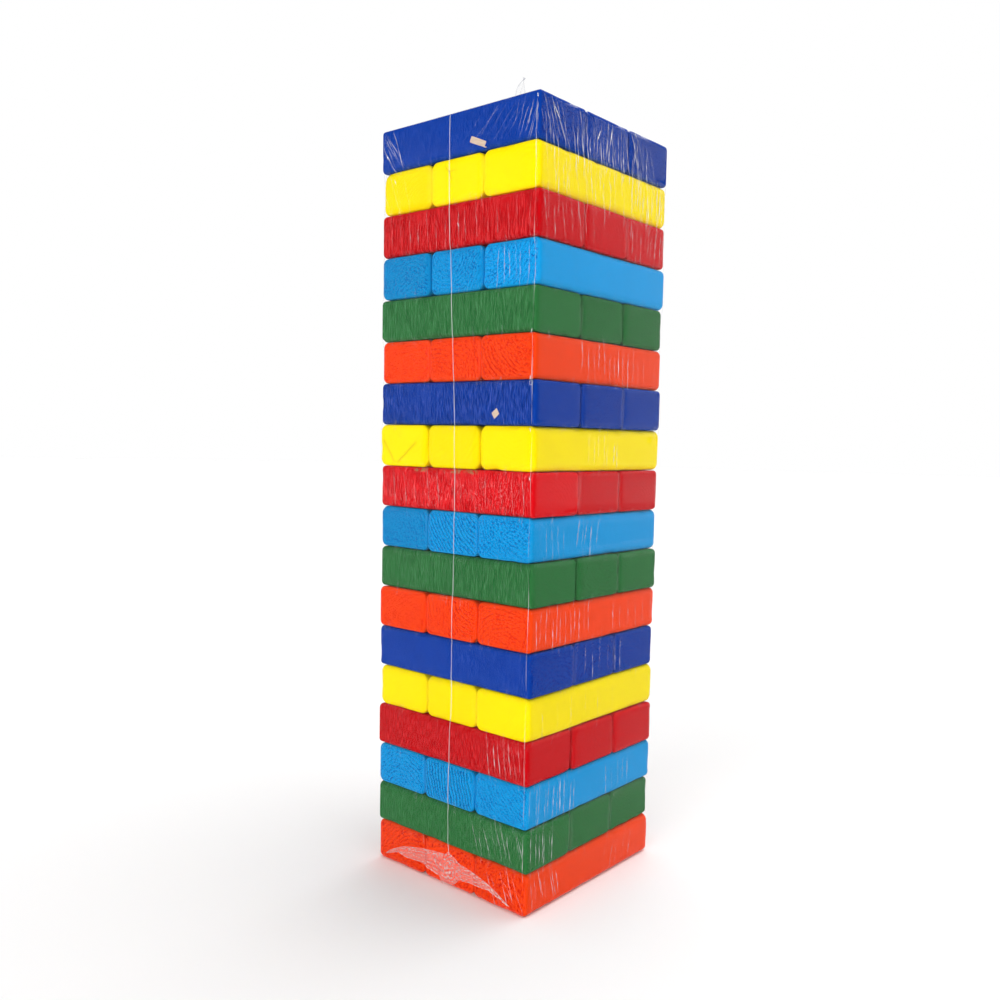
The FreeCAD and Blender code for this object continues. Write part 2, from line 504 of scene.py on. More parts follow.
def box_skin(lines, sides):
    """Points and faces over the chosen sides of a box with these grid lines along each axis.

    Each side's corners are numbered by their grid lines, so corners that sides share are one point
    and the skin is closed wherever two chosen sides meet. Faces look outwards.
    """
    counts = [len(values) for values in lines]
    found = []
    for axis, end in sides:
        one, other = [number for number in range(3) if number != axis]
        i, j = np.meshgrid(np.arange(counts[one] - 1), np.arange(counts[other] - 1), indexing="ij")
        ring = [(i, j), (i + 1, j), (i + 1, j + 1), (i, j + 1)]
        if (end < 0) != (axis == 1):
            ring = ring[::-1]
        corners = np.zeros((4, i.size, 3), int)
        for number, (a, b) in enumerate(ring):
            corners[number, :, one] = a.ravel()
            corners[number, :, other] = b.ravel()
            corners[number, :, axis] = 0 if end < 0 else counts[axis] - 1
        found.append(corners.transpose(1, 0, 2))
    corners = np.concatenate(found)
    numbers = (corners[..., 0] * counts[1] + corners[..., 1]) * counts[2] + corners[..., 2]
    used, faces = np.unique(numbers, return_inverse=True)
    faces = faces.reshape(-1, 4)
    places = used // (counts[1] * counts[2]), used // counts[2] % counts[1], used % counts[2]
    points = np.stack([np.asarray(lines[axis])[places[axis]] for axis in range(3)], axis=1)
    return points, faces


def rounded(points, half, radius):
    """A box's skin drawn in to a rounded box, with the direction outwards at each point.

    The inner box is the box less its radii. What lies past it, in units of the radii, is turned to
    length one, which makes every edge a quarter ellipse and every corner an eighth of an ellipsoid.
    """
    inner = np.clip(points, radius - half, half - radius)
    over = (points - inner) / radius
    over /= np.linalg.norm(over, axis=1, keepdims=True)
    outwards = over / radius
    outwards /= np.linalg.norm(outwards, axis=1, keepdims=True)
    return inner + over * radius, outwards


def swell(points, rng, wavelength, waves=7):
    """Soft random hills between about -1 and 1: plane sine waves of near the same wavelength, in
    random directions and phases, added and divided by the root of half their number."""
    directions = rng.normal(size=(waves, 3))
    directions /= np.linalg.norm(directions, axis=1, keepdims=True)
    directions *= 2 * math.pi / wavelength * rng.uniform(0.7, 1.4, (waves, 1))
    phases = rng.uniform(0, 2 * math.pi, waves)
    return np.sin(points @ directions.T + phases).sum(axis=1) / math.sqrt(waves / 2)


def point_normals(points, faces):
    """Each point's normal: the sum of its faces' normals, each from the face's diagonals."""
    diagonals = points[faces[:, 2]] - points[faces[:, 0]], points[faces[:, 3]] - points[faces[:, 1]]
    across = np.cross(*diagonals)
    total = np.zeros_like(points)
    for corner in range(4):
        np.add.at(total, faces[:, corner], across)
    return total / np.maximum(np.linalg.norm(total, axis=1, keepdims=True), 1e-12)


def grid_faces(rows, columns):
    """Faces over a grid of points stored row by row."""
    i, j = np.meshgrid(np.arange(rows - 1), np.arange(columns - 1), indexing="ij")
    first = (i * columns + j).ravel()
    return np.stack([first, first + 1, first + columns + 1, first + columns], axis=1)


def sub_surface(points, faces, chosen):
    """The chosen faces with only the points that they use, and those points' numbers."""
    used, numbers = np.unique(faces[chosen], return_inverse=True)
    return points[used], numbers.reshape(-1, 4), used


# ---- Blocks ----

# How the colours are finished, as (sawn, porous, scuffed and glinting): the dark ones are rough from
# the saw, and the light ones show the pores of their ends. The third number is how strongly the pale
# strokes show, which are partly scuffs in the paint and partly painted glints of the film.
FINISHES = {
    "orange": (0.12, 1.1, 0.0),
    "green": (0.45, 0.55, 0.05),
    "light_blue": (0.10, 1.0, 0.0),
    "red": (0.35, 0.5, 0.05),
    "yellow": (0.08, 0.22, 0.0),
    "blue": (0.35, 0.7, 0.0),
}
# What is odd about single blocks. finish is as in FINISHES. tone makes the paint lighter or darker
# than the rest, from -1 to 1. ringed is how strongly the growth rings show in an end. pith is where
# the middle of the rings lies in millimetres across and up, where it is far outside. speckled is for
# thin paint over small knots and deep pores. The start of the pale strokes is how far along the block
# they start, in millimetres from its middle; they are partly scuffs and partly painted glints of the film.
ODD_BLOCKS = {
    "level_01_orange_left": {"speckled": 0.8},
    "level_01_orange_middle": {"speckled": 1.0},
    "level_01_orange_right": {"speckled": 1.0},
    "level_02_green_front": {"finish": (0.5, 0.3, 0.7)},
    "level_03_light_blue_middle": {"ringed": 3.0, "pith": (70.0, -18.0)},
    "level_04_red_front": {"finish": (0.7, 0.3, 0.7), "scuffs_and_glints_from": 12.0},
    "level_07_orange_middle": {"ringed": 1.2, "speckled": 0.5},
    "level_08_green_front": {"finish": (0.6, 0.3, 0.25), "scuffs_and_glints_from": -60.0},
    "level_09_light_blue_left": {"tone": -0.9, "pith": (-50.0, 30.0)},
    "level_09_light_blue_middle": {"ringed": 2.0, "pith": (-45.0, 40.0)},
    "level_10_red_front": {"finish": (0.7, 0.3, 0.8), "tone": 1.0, "scuffs_and_glints_from": -60.0},
    "level_12_blue_front": {"finish": (0.8, 0.3, 0.0), "ringed": 1.2},
    "level_13_orange_middle": {"speckled": 0.35},
    "level_14_green_front": {"finish": (0.62, 0.3, 0.1)},
    "level_15_light_blue_left": {"tone": -0.9},
    "level_15_light_blue_middle": {"tone": -0.2},
    "level_15_light_blue_right": {"tone": 0.6},
    "level_16_red_front": {"finish": (0.62, 0.3, 0.1), "tone": -0.2},
    "level_17_yellow_left": {"tone": -0.3},
}
# How round the long edges are, against the usual radius.
ROUNDNESS = {"orange": 1.05, "green": 0.9, "light_blue": 1.15, "red": 0.8, "yellow": 1.3, "blue": 0.8}
TOP_ROUNDNESS = 0.7
# How far apart the grid lines on a block lie.
BLOCK_GRID = 1.8 * MM
# Cracks in the ends, in millimetres across and up from the end's middle: from, to, width, depth.
# depth sets how far a crack sinks and how dark brown it is: the bare wood in it, and painted shade
# deep in it.
SPLITS = {
    "level_11_yellow_left": (
        ((10.1, 1.7), (4.3, -5.9), 0.34, 0.5),
        ((-7.2, 1.3), (2.6, -6.3), 0.34, 0.45),
        ((0.8, 5.8), (2.0, 2.9), 0.26, 0.3),
    ),
    "level_17_yellow_middle": (
        ((4.8, 5.0), (2.8, 3.1), 0.3, 0.4),
        ((2.8, 3.1), (0.3, 3.2), 0.3, 0.35),
        ((2.8, 3.1), (1.8, 0.3), 0.3, 0.35),
    ),
}
# Where a block's upper front edge is rubbed bare, in millimetres along it from its middle.
WORN_SPOTS = {"level_10_red_front": (-16.3, 1.5, 8.9)}
# Chips knocked out of the ends, in millimetres: the middle across and up, the size and the depth.
CHIPS = {
    "level_11_yellow_right": (6.2, -7.3, 2.3, 1.2),
    "level_05_yellow_middle": (8.0, 7.4, 2.0, 0.5),
}


def block_surface(name, wood):
    """One block's points, faces, place in its own axes in millimetres, and which way it lies.

    A rounded box, whose faces then sink by soft hills of at most a tenth of a millimetre, and whose
    edges sink further where soft hills say that they are worn. Dents and chips are round bells.
    """
    rng = np.random.default_rng(1000 + BLOCKS.index(name))
    low, high = BOXES[name]
    along_x = high[0] - low[0] > high[1] - low[1]
    half = BLOCK_SIZE / 2
    roundness = TOP_ROUNDNESS if level_of(name) == LEVELS else ROUNDNESS[colour_of(name)]
    long_edge = wood.long_edge_radius * roundness
    radius = np.array([wood.end_edge_radius * min(roundness, 1), long_edge, long_edge])
    lines = [edge_lines(half[axis], radius[axis], BLOCK_GRID) for axis in range(3)]
    skin, faces = box_skin(lines, [(axis, end) for axis in range(3) for end in (-1, 1)])
    points, outwards = rounded(skin, half, radius)

    turned = np.sort(np.abs(outwards), axis=1)[:, 1]
    edge = np.clip(turned / 0.7, 0, 1)
    sink = 0.05 * MM * (1 + swell(points, rng, 30 * MM)) / 2
    sink += wood.wear * edge * np.clip(swell(points, rng, 9 * MM) - 0.2, 0, 1.5) ** 2 / 2
    dents = rng.uniform(-1, 1, (6, 3)) * half
    depths = rng.uniform(0.05, 0.25, 6) * MM
    sizes = rng.uniform(0.7, 1.8, 6) * MM
    hollows = list(zip(dents, depths, sizes))
    if name in CHIPS:
        across, up, size, depth = (value * MM for value in CHIPS[name])
        hollows.append((np.array([-half[0], across, up]), depth, size))
    for middle, depth, size in hollows:
        sink += depth * np.exp(-(((points - middle) / size) ** 2).sum(axis=1))
    points = points - outwards * sink[:, None]
    own = points / MM
    if not along_x:
        points = np.stack([-points[:, 1], points[:, 0], points[:, 2]], axis=1)
    return points + (low + high) / 2, faces, own


class TOWER_OT_blocks(bpy.types.Operator):
    """Makes the 54 painted blocks in place of the frame's plain ones"""

    bl_idname = "tower.blocks"
    bl_label = "Blocks"

    def execute(self, context):
        settings = context.scene.tower
        paints = {}
        for name in BLOCKS:
            colour = colour_of(name)
            marks = SPLITS.get(name, ()), WORN_SPOTS.get(name, ())
            key = name if any(marks) else colour
            if key not in paints:
                paints[key] = paint_material(f"Paint {key}", getattr(settings.paints, colour), *marks)
            points, faces, own = block_surface(name, settings.wood)
            rng = np.random.default_rng(5000 + BLOCKS.index(name))
            shift = rng.uniform(-900, 900, 3)
            odd = ODD_BLOCKS.get(name, {})
            tone = odd.get("tone", rng.uniform(-0.3, 0.3))
            near_pith = rng.uniform(-16, 16), rng.choice([-1, 1]) * rng.uniform(5, 16)
            pith = tone, *odd.get("pith", near_pith)
            finish = odd.get("finish", FINISHES[colour])
            traits = odd.get("ringed", 0.8), odd.get("scuffs_and_glints_from", 0.0), odd.get("speckled", 0.0)
            rows = {"own": own}
            held = (("shift", shift), ("pith", pith), ("finish", finish), ("traits", traits))
            for word, values in held:
                rows[word] = np.tile(np.asarray(values, float), (len(points), 1))
            piece = make_object(f"block_{name}", points, faces, [paints[key]], rows)
            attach(piece, BODY_OF[name])
            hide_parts(name)
        return {"FINISHED"}


# ---- Film ----

# Bundles of upright wrinkles on each side, as (level, from, to, how many, lean, strength). from and to
# are millimetres along the side from its middle, towards +X or +Y. A half after a level is the joint
# over the level below, so 17.5 is the joint between levels 17 and 18. lean is how far a wrinkle moves
# along for each unit down.
# strength also sets how bright the painted highlight along each wrinkle's crease is.
WRINKLES = {
    "right": (
        (18, -36, -24, 5, 0.40, 0.5), (17.5, -35, 22, 24, 0.03, 0.6), (16.5, -34, 36, 14, 0.0, 0.4),
        (18, -24, 20, 16, 0.02, 0.35), (18, 17, 27, 6, 0.45, 0.5), (17, -34, -6, 8, 0.08, 0.35),
        (17, 14, 36, 15, -0.06, 0.6), (16, -34, -8, 7, 0.12, 0.3), (16, 16, 35, 9, -0.06, 0.4),
        (13, -13, 15, 10, 0.04, 0.55), (13, 18, 36, 6, 0.0, 0.2), (11, -8, 10, 7, 0.0, 0.35),
        (9, -34, -20, 5, 0.1, 0.2), (9, -13, -2, 4, -0.15, 0.45), (7, -34, -6, 12, 0.0, 0.4),
        (7, 10, 34, 6, 0.0, 0.3), (6, -6, 16, 6, 0.0, 0.35), (5, -30, 10, 6, 0.0, 0.2),
        (3, -36, -12, 11, -0.04, 0.6), (3, 8, 22, 5, 0.0, 0.3), (2, -35, -24, 7, -0.04, 0.6),
        (1, -35, -20, 8, 0.2, 0.35), (1, 8, 24, 5, -0.2, 0.2),
    ),
    "front": (
        (18, 28, 37, 7, -0.30, 0.30), (18, 10, 28, 7, -0.9, 0.14), (18, -35, -29, 5, 0.65, 0.45),
        (17, -35, -24, 4, 0.3, 0.2), (16, -36, 34, 16, 0.05, 0.16), (15, 20, 36, 7, 0.0, 0.25),
        (10, -30, 34, 12, 0.1, 0.2), (4, 20, 37, 8, 0.1, 0.4), (2, 14, 36, 9, 0.25, 0.35),
        (1, 22, 34, 5, 0.35, 0.3),
    ),
    "back": (
        (18, -34, 34, 18, 0.1, 0.5), (15, -20, 30, 12, 0.0, 0.4), (12, 0, 34, 8, 0.1, 0.3),
        (9, -36, 0, 9, 0.05, 0.4), (6, -30, 20, 8, 0.0, 0.25), (3, -10, 30, 10, 0.0, 0.5),
    ),
    "left": (
        (18, -34, 36, 18, -0.15, 0.5), (16, -30, 0, 8, 0.1, 0.35), (14, -30, 10, 10, 0.0, 0.35),
        (11, 0, 34, 7, -0.1, 0.3), (7, 0, 30, 8, 0.1, 0.4), (2, -30, 0, 8, -0.1, 0.5),
    ),
}
# Single sharp creases on each side, as (strength, width, points along and up), in millimetres.
# strength is how bright the painted highlight along a crease is: the short ones stronger than 1 are
# painted glints, the long line down the front's +X edge is a painted highlight where the film turns
# the corner, and the small ring on it is a painted glint at a joint.
CREASES = {
    "right": (
        (0.50, 0.30, (-33.4, 271.5), (-30.7, 264.8), (-28.2, 257.5)),
        (0.55, 0.35, (-31.8, 272.0), (-28.0, 266.9), (-23.5, 258.0)),
        (1.60, 0.55, (-30.3, 269.8), (-28.9, 268.0), (-27.3, 266.0)),
        (0.60, 0.35, (-17.2, 273.2), (-15.5, 266.5), (-15.2, 257.0)),
        (0.40, 0.25, (-13.2, 272.0), (-14.0, 266.9), (-14.0, 258.4)),
        (0.35, 0.25, (-8.6, 272.7), (-7.7, 268.5), (-9.2, 258.0)),
        (0.35, 0.25, (-4.5, 273.2), (-4.8, 266.2), (-6.2, 257.8)),
        (1.50, 0.60, (-5.2, 268.2), (-6.0, 266.4), (-6.8, 264.6)),
        (1.30, 0.45, (-10.8, 261.2), (-11.0, 259.6)),
        (0.45, 0.85, (-0.6, 273.2), (-1.1, 264.2), (-2.0, 256.5)),
        (0.70, 0.35, (1.8, 273.0), (-0.1, 260.5), (-3.0, 252.3)),
        (1.60, 0.50, (1.7, 270.9), (1.2, 268.0), (0.7, 264.8)),
        (0.60, 0.35, (-1.2, 253.8), (1.0, 250.5), (0.9, 245.0), (-0.2, 238.5)),
        (0.55, 0.30, (-3.0, 252.3), (-3.7, 247.4), (-1.8, 241.0)),
        (0.45, 0.30, (7.2, 273.0), (7.3, 266.2), (7.0, 257.5)),
        (0.45, 0.30, (9.5, 273.0), (10.3, 266.9), (9.5, 257.6)),
        (0.60, 0.35, (12.5, 273.2), (15.7, 265.1), (13.4, 257.4)),
        (0.55, 0.35, (14.3, 272.9), (17.0, 270.1), (16.1, 263.6)),
        (1.30, 0.45, (14.9, 272.8), (16.0, 271.3)), (0.35, 0.30, (3.0, 270.0), (2.7, 263.3), (5.1, 257.7)),
        (0.45, 0.35, (-11.6, 135.4), (-13.1, 125.8)),
        (0.45, 0.35, (-7.3, 135.2), (-8.0, 130.0), (-8.8, 126.3)),
    ),
    "front": (
        (0.55, 0.30, (-36.0, 272.3), (-28.0, 260.3)), (0.45, 0.30, (-36.0, 269.8), (-30.0, 258.5)),
        (1.50, 0.45, (-35.0, 264.4), (-34.2, 262.6)), (1.20, 0.40, (-31.0, 255.2), (-30.2, 253.2)),
        (1.20, 0.40, (1.6, 235.9), (2.4, 234.3)), (0.40, 0.25, (34.7, 268.7), (31.7, 262.3)),
        (0.40, 0.25, (32.9, 269.1), (30.3, 263.2)), (0.45, 0.30, (26.9, 10.4), (29.9, 7.9), (31.9, 4.4)),
        (0.35, 0.25, (27.2, 7.5), (29.6, 6.0), (31.3, 4.0)), (0.35, 0.25, (24.5, 3.4), (28.5, 1.6)),
        # A painted highlight down the front's +X edge, where the film turns the corner.
        (0.60, 0.30, (36.2, 272.5), (36.0, 262.0), (36.4, 252.0), (36.2, 240.0)),
        (0.45, 0.25, (36.3, 240.0), (36.0, 228.0), (36.4, 214.0), (36.1, 198.0)),
        (0.60, 0.30, (36.1, 198.0), (36.4, 190.0), (36.2, 176.0), (36.3, 166.0)),
        (0.35, 0.25, (36.3, 166.0), (36.1, 150.0), (36.4, 136.0), (36.2, 120.0)),
        (0.50, 0.30, (36.2, 120.0), (36.4, 106.0), (36.1, 90.0), (36.3, 76.0)),
        (0.45, 0.25, (36.3, 76.0), (36.1, 60.0), (36.4, 44.0), (36.2, 30.0)),
        (0.55, 0.30, (36.2, 30.0), (36.4, 20.0), (36.2, 12.0)),
        # A small ring of painted glint at the joint of levels 12 and 13, and short painted glints at the
        # joints above and below it and at the top.
        (1.10, 0.26, (35.9, 181.8), (35.2, 181.2), (35.3, 180.3), (36.0, 180.0), (36.4, 180.9),
         (35.9, 181.8)),
        (1.30, 0.40, (35.8, 183.4), (35.4, 181.6)), (1.10, 0.35, (35.9, 198.4), (35.5, 196.6)),
        (1.00, 0.30, (35.4, 166.4), (35.8, 164.8)), (1.20, 0.35, (35.5, 150.6), (36.0, 148.8)),
        (1.20, 0.45, (36.2, 271.8), (36.4, 270.4)),
    ),
}
# Small puckers along each joint between levels, and points along a crease.
PUCKERS_PER_GROOVE = 12
CREASE_STEPS = 14
# How far in from a block's edges its flat middle holds the film.
FILM_INSET = 1.9 * MM
# How far along a side from its middle creases go, and how far down and up it.
FILM_FLAT = HALF_TOWER - 0.9 * MM
CREASE_FOOT = 0.4 * MM
CREASE_TOP = TOWER_TOP - 0.6 * MM
# The film's rounding at the top, how far over the top it lies, and how far apart its grid lines lie
# along a side and up it.
FILM_TOP_RADIUS = 1.8 * MM
FILM_OVER_TOP = 0.1 * MM
FILM_GRID = 0.7 * MM
FILM_GRID_UP = 1.3 * MM


def cells(side):
    """The blocks that the film touches on a side: their spans along it, their spans in height, and
    how far out their faces stand, as one row each."""
    axis, end = SIDES[side]
    other = 1 - axis
    rows = []
    for name in BLOCKS:
        low, high = BOXES[name]
        face = end * (high if end > 0 else low)[axis]
        if abs(face - HALF_TOWER) < 1 * MM:
            rows.append((low[other], high[other], low[2], high[2], face))
    return np.array(rows)


CELLS = {side: cells(side) for side in SIDES}


def reach(side, place, height, fall, inset):
    """How far out the film stands on a side.

    Each block holds the film out to its own face over its flat middle, and lets it fall away in a
    straight slope beyond. The film takes the furthest of these, with the turns between smoothed as
    a soft maximum: the logarithm of a sum of exponentials.
    """
    low, high, foot, top, face = (column[:, None] for column in CELLS[side].T)
    beside = np.maximum(np.maximum(low + inset - place, place - high + inset), 0)
    above = np.maximum(np.maximum(foot + inset - height, height - top + inset), 0)
    held = face - fall * np.hypot(beside, above)
    softness = 0.02 * MM
    best = held.max(axis=0)
    return best + softness * np.log(np.exp((held - best) / softness).sum(axis=0))


def wrinkle_rows(side, rng):
    """Every wrinkle of a side as a row: its place along the side, its middle height, its half
    height, its lean, its bow, its width, how far it stands out, and how bright the painted highlight
    along its crease is."""
    rows = []
    for level, start, stop, count, lean, strength in WRINKLES[side]:
        middle = (level - 0.5) * LEVEL_PITCH
        for place in np.linspace(start, stop, count) + rng.uniform(-0.9, 0.9, count):
            tall = rng.uniform(3.5 + 4 * strength, 8.5) * MM
            height = min(middle + rng.uniform(-3, 3) * MM, CREASE_TOP - tall)
            tilt = lean * rng.uniform(0.6, 1.4) + rng.uniform(-0.04, 0.04)
            width = rng.uniform(0.13, 0.26) * MM
            out = strength * rng.uniform(0.06, 0.16) * MM
            bow = rng.uniform(-0.5, 0.5) * MM
            # How bright the painted highlight along the wrinkle's crease is.
            milk_and_glint = strength * rng.uniform(0.4, 1.5)
            rows.append((place * MM, height, tall, tilt, bow, width, out, milk_and_glint))
    for groove in range(1, LEVELS):
        for place in rng.uniform(-36, 36, PUCKERS_PER_GROOVE):
            height = groove * LEVEL_PITCH + rng.uniform(-1.2, 0.8) * MM
            tall = rng.uniform(0.9, 3.0) * MM
            width = rng.uniform(0.14, 0.26) * MM
            out = rng.uniform(0.01, 0.05) * MM
            tilt = rng.uniform(-0.15, 0.15)
            # How bright the short painted highlight across the joint is.
            milk_and_glint = rng.uniform(0.03, 0.2)
            rows.append((place * MM, height, tall, tilt, 0, width, out, milk_and_glint))
    return np.array(rows)


def wrinkle_lift(rows, place, height):
    """How far wrinkles lift the film at a place on a side: a bell across each wrinkle's line, three
    times as wide as its crease, and a flatter bell along it."""
    lift = np.zeros_like(place)
    for at, middle, tall, lean, bow, width, out, _ in rows:
        down = (middle - height) / tall
        near = np.abs(down) < 1.6
        line = at + lean * tall * down[near] + bow * down[near] ** 2
        gap = (place[near] - line) / (3 * width)
        lift[near] += out * np.exp(-(down[near] ** 4) - gap**2)
    return lift


def crease_lines(side, rows, rng):
    """The creases of a side as whole arrays, one row each: places and heights along their lines,
    and each line's width and strength, which is how bright its painted highlight is. A wrinkle's
    crease follows its ridge with a slight waver, and a single crease follows its points."""
    share = np.linspace(-1, 1, CREASE_STEPS)
    at, middle, tall, lean, bow, width, _, strength = (column[:, None] for column in rows.T)
    place = at + lean * tall * share + bow * share**2
    place = place + 0.10 * MM * np.sin(share * rng.uniform(3, 9, at.shape) + 40 * share[::-1] * at)
    height = middle - tall * share
    for power, wide, *stops in CREASES.get(side, ()):
        stops = np.array(stops) * MM
        steps = np.linspace(-1, 1, len(stops))
        place = np.vstack([place, np.interp(share, steps, stops[:, 0])])
        height = np.vstack([height, np.interp(share, steps, stops[:, 1])])
        width = np.vstack([width, [[wide / 2 * MM]]])
        strength = np.vstack([strength, [[power]]])
    return place, height, width, strength


def crease_surface(side, film):
    """Every crease of a side as a narrow ribbon on the film: its middle stands out, and its crease
    value, how bright the painted highlight on it is, falls to nothing at its sides and ends and is
    broken up along it."""
    axis, end = SIDES[side]
    number = list(SIDES).index(side)
    rows = wrinkle_rows(side, np.random.default_rng(70 + number))
    rng = np.random.default_rng(90 + number)
    place, height, width, strength = crease_lines(side, rows, rng)
    share = np.linspace(-1, 1, CREASE_STEPS)
    broken = 0.62 + 0.38 * np.sin(share * rng.uniform(4, 12, width.shape) + rng.uniform(0, 6, width.shape))
    value = 1.5 * strength * (1 - share**4) * broken
    across = np.array([-1.0, 0.0, 1.0])
    ridge = 1 - np.abs(across)
    half = 1.15 * width * (0.45 + 0.55 * (1 - share**2))
    places = np.clip(place[..., None] + half[..., None] * across, -FILM_FLAT, FILM_FLAT)
    heights = np.clip(np.repeat(height[..., None], 3, axis=2), CREASE_FOOT, CREASE_TOP)
    values = value[..., None] * ridge
    raised = (0.02 + 0.14 * ridge * np.minimum(value, 1)[..., None]) * MM
    lift = wrinkle_lift(rows, places.ravel(), heights.ravel())
    lie = reach(side, places.ravel(), heights.ravel(), film.fall, FILM_INSET) + film.stand_off
    points = np.zeros((places.size, 3))
    points[:, 1 - axis] = places.ravel()
    points[:, axis] = end * (lie + lift + raised.ravel())
    points[:, 2] = heights.ravel()
    strip = grid_faces(CREASE_STEPS, 3)
    if (end < 0) != (axis == 1):
        strip = strip[:, ::-1]
    starts = np.arange(len(place)) * CREASE_STEPS * 3
    faces = (starts[:, None, None] + strip).reshape(-1, 4)
    return points, faces, point_normals(points, faces), values.ravel()


def film_lines(half, radius, joints, spacing):
    """Grid lines for the film along one axis: even between the joints where patches part, and at
    even angles round the corners."""
    turn = np.tan(np.linspace(0, math.pi / 4, 5))[1:] * radius
    flat = half - radius
    stops = [-flat, *joints, flat]
    parts = [
        np.linspace(one, other, max(2, int(round((other - one) / spacing))) + 1)[:-1]
        for one, other in zip(stops, stops[1:])
    ]
    return np.concatenate([-flat - turn[::-1], *parts, [flat], flat + turn])


def film_surface(film):
    """The whole film as points, faces, normals and creases, and its grid's box.

    A rounded box whose sides then move out to the film's reach, by stretching the inner box on each
    axis. Wrinkles lift it along its sides' directions.
    """
    half = np.array([HALF_TOWER, HALF_TOWER, TOWER_TOP / 2])
    radius = np.array([film.corner_radius, film.corner_radius, FILM_TOP_RADIUS])
    joints = [-SIDE_PITCH / 2, SIDE_PITCH / 2]
    level_joints = [
        level * LEVEL_PITCH - (LEVEL_PITCH - BLOCK_SIZE[2]) / 2 - half[2] for level in range(1, LEVELS)
    ]
    lines = [
        film_lines(half[0], radius[0], joints, FILM_GRID),
        film_lines(half[1], radius[1], joints, FILM_GRID),
        film_lines(half[2], radius[2], level_joints, FILM_GRID_UP),
    ]
    skin, faces = box_skin(lines, [(0, -1), (0, 1), (1, -1), (1, 1), (2, 1)])
    points, outwards = rounded(skin, half, radius)
    points[:, 2] += half[2] + FILM_OVER_TOP
    for number, (side, (axis, end)) in enumerate(SIDES.items()):
        on_side = points[:, axis] * end > 0
        place, height = points[on_side, 1 - axis], points[on_side, 2]
        out = reach(side, place, height, film.fall, FILM_INSET) + film.stand_off
        lift = wrinkle_lift(wrinkle_rows(side, np.random.default_rng(70 + number)), place, height)
        turned = np.clip(outwards[on_side, axis] * end, 0, 1)
        share = np.clip(points[on_side, axis] * end / (HALF_TOWER - radius[axis]), 0, 1)
        points[on_side, axis] += end * (share * (out - HALF_TOWER) + lift * turned)
    return points, faces, point_normals(points, faces), np.zeros(len(points))


def film_owner(middles):
    """Which block each place on the film belongs to: the one of its level under it."""
    owner = np.full(len(middles), -1)
    level = np.clip((middles[:, 2] / LEVEL_PITCH).astype(int) + 1, 1, LEVELS)
    for number, name in enumerate(BLOCKS):
        low, high = BOXES[name]
        along_x = high[0] - low[0] > high[1] - low[1]
        across = middles[:, 1] if along_x else middles[:, 0]
        middle = (low + high)[1 if along_x else 0] / 2
        slot = np.clip(np.round(across / SIDE_PITCH), -1, 1)
        owner[(level == level_of(name)) & (slot == round(middle / SIDE_PITCH))] = number
    return owner


class TOWER_OT_film(bpy.types.Operator):
    """Draws the clear film and its creases over the tower, as one patch for each block"""

    bl_idname = "tower.film"
    bl_label = "Film"

    def execute(self, context):
        film = context.scene.tower.film
        surfaces = [film_surface(film), *(crease_surface(side, film) for side in SIDES)]
        # The creases' pale white is a painted highlight, for the film's glints along its wrinkles.
        materials = [ply_material(film.haze), folded_film_and_painted_light("crease")]
        owners = [film_owner(points[faces].mean(axis=1)) for points, faces, _, _ in surfaces]
        for number, name in enumerate(BLOCKS):
            found = []
            count = 0
            for kind, ((points, faces, normals, crease), owner) in enumerate(zip(surfaces, owners)):
                patch, numbers, used = sub_surface(points, faces, owner == number)
                kinds = np.full(len(numbers), min(kind, 1))
                found.append((patch, numbers + count, normals[used], crease[used], kinds))
                count += len(patch)
            if count == 0:
                continue
            patch, numbers, normals, crease, kinds = (np.concatenate(rows) for rows in zip(*found))
            rows = {"crease": crease}
            film_piece(f"film_{name}", name, patch, numbers, materials, rows, normals, kinds)
        return {"FINISHED"}


# ---- Seam, fan, ear and flakes ----

# The seam's line, in millimetres along the front and up.
SEAM_LINE = (
    (1.1, 0.0), (0.7, 28.0), (1.0, 49.0), (1.5, 110.0), (1.5, 151.0), (1.15, 170.0), (-0.2, 199.0),
    (-1.5, 220.0), (-2.4, 240.0), (-2.65, 257.0), (-2.7, 274.0),
)
# How far under a level's pitch the middle of its joint lies.
JOINT_DROP = 0.04 * MM


def seam_place(height):
    """Where the seam runs along the front: straight between the stops, with a slight waver."""
    along, up = np.array(SEAM_LINE).T * MM
    return np.interp(height, up, along) + 0.06 * MM * np.sin(height / (11 * MM))


def front_sheet(place, height, out, film):
    """Points of a sheet on the front film from grids of places, heights and how far it stands out."""
    points = as_points(place, -out, height)
    points[:, 1] -= reach("front", points[:, 0], points[:, 2], film.fall, FILM_INSET) + film.stand_off
    return points


def seam_owner(level):
    """The block that a level's length of the seam lies on."""
    word = "front" if level % 2 == 0 else "middle"
    return next(name for name in BLOCKS if level_of(name) == level and name.endswith(word))


